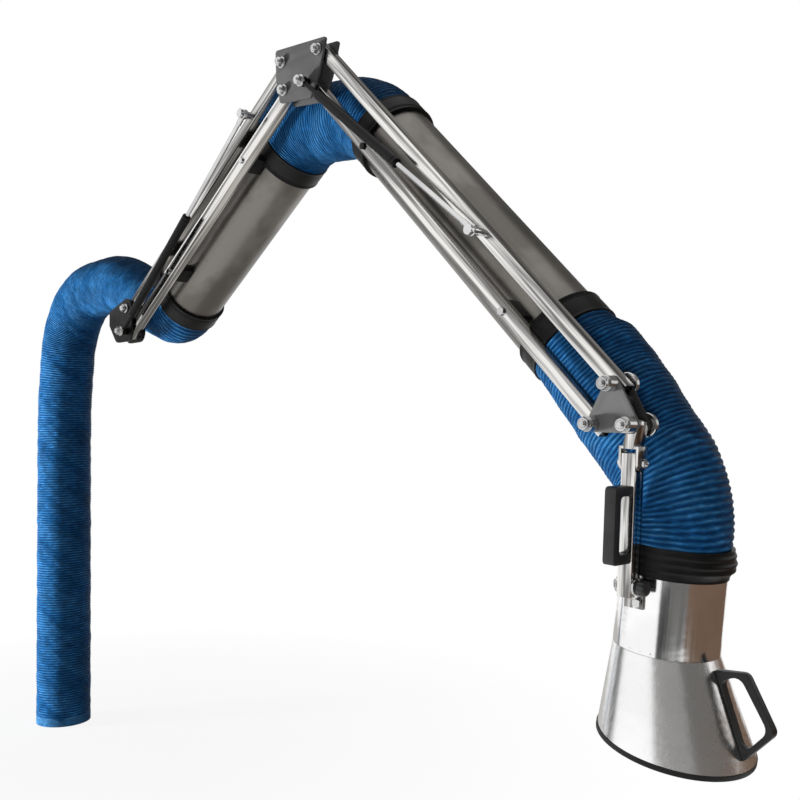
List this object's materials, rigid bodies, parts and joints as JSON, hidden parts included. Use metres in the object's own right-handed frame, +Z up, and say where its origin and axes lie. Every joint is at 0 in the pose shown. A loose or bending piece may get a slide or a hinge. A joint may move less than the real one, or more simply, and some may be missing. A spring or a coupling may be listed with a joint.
{
  "type": "fume extraction arm",
  "caption": "Jointed extraction arm: parallel bars with gas struts carry a steel duct, ribbed hoses and a hood that swings and tilts.",
  "frame": {"origin": "centre of the base bracket web on its mounting face", "axes": "+X out from the mounting face along the arm, +Y towards the ducts beside the bars, +Z up"},
  "size_m": [2.5262, 0.2853, 1.7839],
  "materials": {
    "black_metal": "satin",
    "plate_steel": "satin",
    "bright_bar": "polished",
    "duct_steel": "satin",
    "fastener": "polished",
    "strut_rod": "polished",
    "hood_steel": "polished",
    "rubber": "matte",
    "black_plastic": "matte",
    "hose_fabric": "coated"
  },
  "bodies": {
    "base": {"base_bracket": "black_metal", "base_upper_bolt": "fastener", "base_upper_nut": "fastener", "base_lower_bolt": "fastener", "base_lower_nut": "fastener", "base_hose": "hose_fabric"},
    "arm_1": {"arm_1_lower_bar": "bright_bar", "duct_1": "duct_steel", "duct_1_saddle_1": "black_metal", "duct_1_saddle_2": "black_metal", "duct_1_cuff_1": "rubber", "duct_1_cuff_2": "rubber"},
    "arm_1_upper": {"arm_1_upper_bar": "bright_bar"},
    "elbow": {"elbow_front_plate": "plate_steel", "elbow_rear_plate": "plate_steel", "elbow_1_upper_bolt": "fastener", "elbow_1_upper_nut": "fastener", "elbow_1_lower_bolt": "fastener", "elbow_1_lower_nut": "fastener", "elbow_2_upper_bolt": "fastener", "elbow_2_upper_nut": "fastener", "elbow_2_lower_bolt": "fastener", "elbow_2_lower_nut": "fastener", "elbow_hose": "hose_fabric"},
    "arm_2": {"arm_2_lower_bar": "bright_bar", "duct_2": "duct_steel", "duct_2_saddle_1": "black_metal", "duct_2_saddle_2": "black_metal", "duct_2_cuff_1": "rubber", "duct_2_cuff_2": "rubber"},
    "arm_2_upper": {"arm_2_upper_bar": "bright_bar"},
    "wrist": {"wrist_front_plate": "plate_steel", "wrist_rear_plate": "plate_steel", "wrist_upper_disc": "fastener", "wrist_hanger_disc": "fastener", "wrist_upper_bolt": "fastener", "wrist_upper_nut": "fastener", "wrist_lower_bolt": "fastener", "wrist_lower_nut": "fastener", "wrist_hanger_bolt": "fastener", "wrist_hanger_nut": "fastener", "hood_hose": "hose_fabric"},
    "yoke": {"hanger_yoke": "plate_steel", "hanger_bolt": "fastener", "hanger_nut": "fastener"},
    "hanger": {"hanger_tube": "bright_bar", "hanger_grip": "black_plastic"},
    "hood": {"hood_bracket": "plate_steel", "hood_bracket_screw": "fastener", "hood_bolt": "fastener", "hood_knob": "black_plastic", "hood_neck": "hood_steel", "hood_cuff": "rubber", "hood_cone": "hood_steel", "hood_rim": "rubber", "hood_handle": "black_plastic"},
    "strut_1_barrel": {"strut_1_barrel": "black_metal"},
    "strut_1_rod": {"strut_1_rod": "strut_rod"},
    "strut_2_barrel": {"strut_2_barrel": "black_metal"},
    "strut_2_rod": {"strut_2_rod": "strut_rod"}
  },
  "joints": [
    {"name": "arm_1_lift", "type": "hinge", "parent": "base", "child": "arm_1", "pos_m": [0.1032, 0, -0.0424], "axis": [0, -1, 0], "range_deg": [-30, 22], "deforming": ["base_hose"]},
    {"name": "arm_1_upper_turn", "type": "hinge", "parent": "base", "child": "arm_1_upper", "pos_m": [0.097, 0, 0.021], "axis": [0, -1, 0], "range_deg": [-31, 23]},
    {"name": "elbow_level", "type": "hinge", "parent": "arm_1", "child": "elbow", "pos_m": [0.817, 0, 0.42826], "axis": [0, -1, 0], "range_deg": [-23, 31]},
    {"name": "arm_2_lift", "type": "hinge", "parent": "elbow", "child": "arm_2", "pos_m": [0.9006, 0, 0.42266], "axis": [0, -1, 0], "range_deg": [-28, 28], "deforming": ["elbow_hose"]},
    {"name": "arm_2_upper_turn", "type": "hinge", "parent": "elbow", "child": "arm_2_upper", "pos_m": [0.9362, 0, 0.48396], "axis": [0, -1, 0], "range_deg": [-29, 29]},
    {"name": "wrist_level", "type": "hinge", "parent": "arm_2", "child": "wrist", "pos_m": [1.61648, 0, -0.31092], "axis": [0, -1, 0], "range_deg": [-29, 29]},
    {"name": "hanger_swing", "type": "hinge", "parent": "wrist", "child": "yoke", "pos_m": [1.68478, 0, -0.31342], "axis": [0, -1, 0], "range_deg": [-30, 35], "deforming": ["hood_hose"]},
    {"name": "hanger_tilt", "type": "hinge", "parent": "yoke", "child": "hanger", "pos_m": [1.67409, 0, -0.37187], "axis": [0.998, 0, -0.0628], "range_deg": [-15, 15]},
    {"name": "hood_tilt", "type": "hinge", "parent": "hanger", "child": "hood", "pos_m": [1.66228, 0, -0.55949], "axis": [-0.998, 0, 0.0628], "range_deg": [-2, 35]},
    {"name": "strut_1_turn", "type": "hinge", "parent": "base", "child": "strut_1_barrel", "pos_m": [0.1032, 0, -0.0424], "axis": [0, -1, 0], "range_deg": [-29.66, 22.02]},
    {"name": "strut_1_stroke", "type": "slide", "parent": "strut_1_barrel", "child": "strut_1_rod", "axis": [0.79, 0, 0.6131], "range_m": [-0.0301, 0.0226]},
    {"name": "strut_2_turn", "type": "hinge", "parent": "elbow", "child": "strut_2_barrel", "pos_m": [0.9006, 0, 0.42266], "axis": [0, -1, 0], "range_deg": [-29.49, 29.49]},
    {"name": "strut_2_stroke", "type": "slide", "parent": "strut_2_barrel", "child": "strut_2_rod", "axis": [0.773, 0, -0.6344], "range_m": [-0.0351, 0.0351]}
  ],
  "couplings": [
    {"joint": "arm_1_upper_turn", "follows": "arm_1_lift", "ratio": 1},
    {"joint": "elbow_level", "follows": "arm_1_lift", "ratio": -1},
    {"joint": "arm_2_upper_turn", "follows": "arm_2_lift", "ratio": 1},
    {"joint": "wrist_level", "follows": "arm_2_lift", "ratio": -1},
    {"joint": "strut_1_turn", "follows": "arm_1_lift", "ratio": 0.9555},
    {"joint": "strut_1_stroke", "follows": "arm_1_lift", "m_per_rad": 0.0536},
    {"joint": "strut_2_turn", "follows": "arm_2_lift", "ratio": 1.0175},
    {"joint": "strut_2_stroke", "follows": "arm_2_lift", "m_per_rad": 0.0678}
  ]
}
